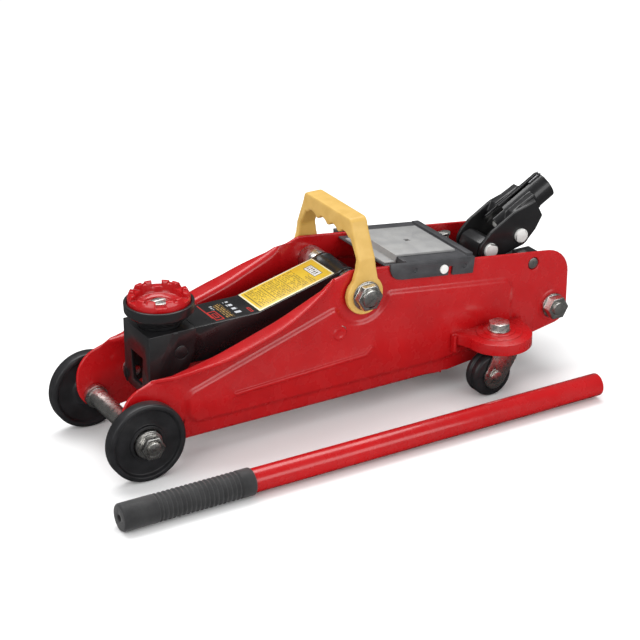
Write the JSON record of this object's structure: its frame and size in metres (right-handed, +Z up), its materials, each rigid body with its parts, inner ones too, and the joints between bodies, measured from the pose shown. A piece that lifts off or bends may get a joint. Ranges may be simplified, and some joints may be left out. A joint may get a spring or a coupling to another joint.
{
  "type": "car jack",
  "caption": "Low hydraulic trolley jack: pressed side plates on wheels and casters, lifting arm with levelled saddle, carrying handle and loose pump handle.",
  "frame": {"origin": "middle of the bounding box of the jack and its loose pump handle, on the floor", "axes": "+X from the saddle end to the handle socket end, +Z up, +Y to the jack's right as seen from behind the socket looking at the saddle; the loose handle lies on the -Y side"},
  "size_m": [0.4894, 0.227, 0.1785],
  "materials": {
    "red_paint": "gloss",
    "black_paint": "satin",
    "zinc": "satin",
    "black_nylon": "satin",
    "yellow_moulding": "satin",
    "grey_cover": "satin",
    "light_panel": "satin",
    "label": "satin",
    "grip_rubber": "matte",
    "spring_steel": "satin",
    "white_pin": "satin"
  },
  "bodies": {
    "frame": {"left_side_plate": "red_paint", "right_side_plate": "red_paint", "front_axle": "zinc", "axle_spacers": "zinc", "axle_washers": "zinc", "axle_nuts": "zinc", "lift_pivot_shaft": "zinc", "pivot_nuts": "zinc", "pivot_spacers": "zinc", "cover_tray": "grey_cover", "cover_panel": "light_panel", "cover_screws": "white_pin", "left_caster_ear": "red_paint", "right_caster_ear": "red_paint", "caster_bolts": "zinc", "left_caster_race": "zinc", "right_caster_race": "zinc", "rear_tie_rod": "zinc", "rear_nuts": "zinc", "side_bolts": "zinc", "link_studs": "zinc", "ram_cylinder": "black_paint", "reservoir": "black_paint", "pump_block": "black_paint", "filler_plug": "zinc", "return_springs": "spring_steel", "pump_spring": "spring_steel"},
    "left_wheel": {"left_front_wheel": "black_nylon"},
    "right_wheel": {"right_front_wheel": "black_nylon"},
    "arm": {"lift_arm": "black_paint", "arm_label": "label", "crank_pin": "zinc"},
    "bracket": {"saddle_bracket": "black_paint", "bracket_pin": "black_paint", "bracket_studs": "zinc", "saddle_holder": "black_paint", "saddle_screw": "zinc"},
    "saddle_cup": {"saddle": "red_paint"},
    "links": {"link_rods": "black_paint"},
    "ram_assembly": {"ram_head": "zinc", "ram": "zinc"},
    "carrying_handle": {"carry_handle": "yellow_moulding"},
    "socket_assembly": {"handle_socket": "black_paint", "socket_latch": "spring_steel", "socket_pin": "white_pin", "roller_pin": "white_pin"},
    "roller": {"pump_roller": "zinc"},
    "piston": {"pump_piston": "zinc"},
    "release": {"release_valve": "zinc", "release_lever": "zinc"},
    "left_caster": {"left_caster_yoke": "zinc", "left_caster_axle": "zinc"},
    "right_caster": {"right_caster_yoke": "zinc", "right_caster_axle": "zinc"},
    "left_caster_roller": {"left_caster_wheel": "black_nylon"},
    "right_caster_roller": {"right_caster_wheel": "black_nylon"},
    "pump_handle": {"handle_tube": "red_paint", "handle_grip": "grip_rubber", "handle_detent": "spring_steel"}
  },
  "joints": [
    {"name": "left_wheel_spin", "type": "hinge", "parent": "frame", "child": "left_wheel", "pos_m": [-0.18975, -0.03745, 0.034], "axis": [0, 1, 0], "continuous": true},
    {"name": "right_wheel_spin", "type": "hinge", "parent": "frame", "child": "right_wheel", "pos_m": [-0.18975, 0.07445, 0.034], "axis": [0, 1, 0], "continuous": true},
    {"name": "arm_lift", "type": "hinge", "parent": "frame", "child": "arm", "pos_m": [0.01925, 0.0185, 0.114], "axis": [0, 1, 0], "range_deg": [0, 65]},
    {"name": "bracket_level", "type": "hinge", "parent": "arm", "child": "bracket", "pos_m": [-0.13975, 0.0185, 0.088], "axis": [0, 1, 0], "range_deg": [-65, 0]},
    {"name": "link_swing", "type": "hinge", "parent": "frame", "child": "links", "pos_m": [-0.00175, 0.0185, 0.084], "axis": [0, 1, 0], "range_deg": [0, 65]},
    {"name": "saddle_swivel", "type": "hinge", "parent": "bracket", "child": "saddle_cup", "pos_m": [-0.14695, 0.0185, 0.121], "axis": [0, 0, 1], "continuous": true},
    {"name": "ram_slide", "type": "slide", "parent": "frame", "child": "ram_assembly", "axis": [-1, 0, 0], "range_m": [0, 0.04846], "deforming": ["return_springs"]},
    {"name": "carry_swing", "type": "hinge", "parent": "frame", "child": "carrying_handle", "pos_m": [0.01925, 0.0185, 0.114], "axis": [0, 1, 0], "range_deg": [-25, 35]},
    {"name": "pump_stroke", "type": "hinge", "parent": "frame", "child": "socket_assembly", "pos_m": [0.16825, 0.0185, 0.1115], "axis": [0, -1, 0], "range_deg": [0, 35]},
    {"name": "piston_slide", "type": "slide", "parent": "frame", "child": "piston", "axis": [0, 0, 1], "range_m": [0, 0.017], "deforming": ["pump_spring"]},
    {"name": "roller_spin", "type": "hinge", "parent": "socket_assembly", "child": "roller", "pos_m": [0.20025, 0.0185, 0.1196], "axis": [0, 1, 0], "continuous": true},
    {"name": "release_turn", "type": "hinge", "parent": "frame", "child": "release", "pos_m": [0.15025, 0.0438, 0.105], "axis": [0, 0, 1], "range_deg": [0, 40]},
    {"name": "left_caster_swivel", "type": "hinge", "parent": "frame", "child": "left_caster", "pos_m": [0.14725, -0.0475, 0.043], "axis": [0, 0, 1], "range_deg": [-12, 192]},
    {"name": "right_caster_swivel", "type": "hinge", "parent": "frame", "child": "right_caster", "pos_m": [0.14725, 0.0845, 0.043], "axis": [0, 0, -1], "range_deg": [-12, 192]},
    {"name": "left_caster_spin", "type": "hinge", "parent": "left_caster", "child": "left_caster_roller", "pos_m": [0.13725, -0.0475, 0.0195], "axis": [0, 1, 0], "continuous": true},
    {"name": "right_caster_spin", "type": "hinge", "parent": "right_caster", "child": "right_caster_roller", "pos_m": [0.13725, 0.0845, 0.0195], "axis": [0, 1, 0], "continuous": true},
    {"name": "pump_handle_lift", "type": "slide", "parent": "frame", "child": "pump_handle", "axis": [0, 0, 1], "range_m": [0, 0.3]}
  ],
  "couplings": [
    {"joint": "bracket_level", "follows": "arm_lift", "ratio": -1},
    {"joint": "link_swing", "follows": "arm_lift", "ratio": 1},
    {"joint": "ram_slide", "follows": "arm_lift", "m_per_rad": 0.042625},
    {"joint": "piston_slide", "follows": "pump_stroke", "m_per_rad": 0.0275}
  ]
}
